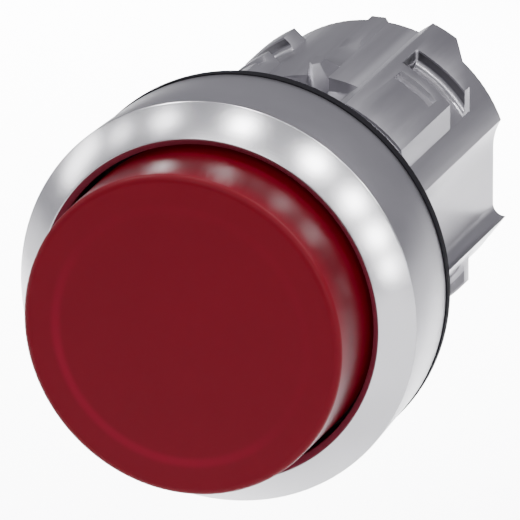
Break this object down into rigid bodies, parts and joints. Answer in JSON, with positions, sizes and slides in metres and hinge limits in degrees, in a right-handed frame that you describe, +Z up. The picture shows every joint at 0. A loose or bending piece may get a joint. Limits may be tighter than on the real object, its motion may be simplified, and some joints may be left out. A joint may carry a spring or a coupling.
{
  "type": "industrial push button",
  "caption": "Round panel push button head with a raised translucent red cap, a chromed bezel ring, a sealing gasket and a die-cast latch collar behind.",
  "frame": {"origin": "on the button's axis, in the plane where the gasket's rear face meets the panel", "axes": "+Y along the axis from the cap towards the rear of the panel, +Z up in the fitted position, +X to the right as seen from the front"},
  "size_m": [0.0294, 0.0404, 0.0294],
  "materials": {
    "bezel_chrome": "polished",
    "liner_black": "matt",
    "seal_rubber": "matt",
    "gasket_rubber": "matt",
    "collar_casting": "satin zinc die casting",
    "sleeve_plastic": "satin",
    "ring_steel": "spring steel",
    "washer_steel": "zinc plated",
    "clamp_plastic": "satin",
    "spring_steel": "stainless wire",
    "bellows_rubber": "matt",
    "lens_red": "translucent, moulded",
    "legend_white": "translucent white",
    "diffuser_white": "opal",
    "carrier_plastic": "satin",
    "guide_clear": "clear moulded plastic",
    "plunger_plastic": "satin",
    "buffer_rubber": "matt"
  },
  "bodies": {
    "housing": {"front_ring": "bezel_chrome", "bezel_liner": "liner_black", "bezel_seal_ring": "seal_rubber", "panel_gasket": "gasket_rubber", "mounting_collar": "collar_casting", "guide_sleeve": "sleeve_plastic", "sleeve_retaining_ring": "ring_steel", "spring_seat_washer": "washer_steel", "bellows_clamp_ring": "clamp_plastic", "return_spring": "spring_steel", "bellows_seal": "bellows_rubber"},
    "button": {"button_lens": "lens_red", "legend_plate": "legend_white", "diffuser_disc": "diffuser_white", "button_carrier": "carrier_plastic", "lens_seal_ring": "seal_rubber", "light_guide": "guide_clear", "plunger_tube": "plunger_plastic", "stop_buffer": "buffer_rubber", "bellows_retainer": "clamp_plastic"}
  },
  "joints": [
    {"name": "button_press", "type": "slide", "parent": "housing", "child": "button", "axis": [0, 1, 0], "range_m": [0, 0.004], "stiffness_N_per_m": 600, "springref_m": -0.0025, "deforming": ["return_spring", "bellows_seal"]}
  ]
}
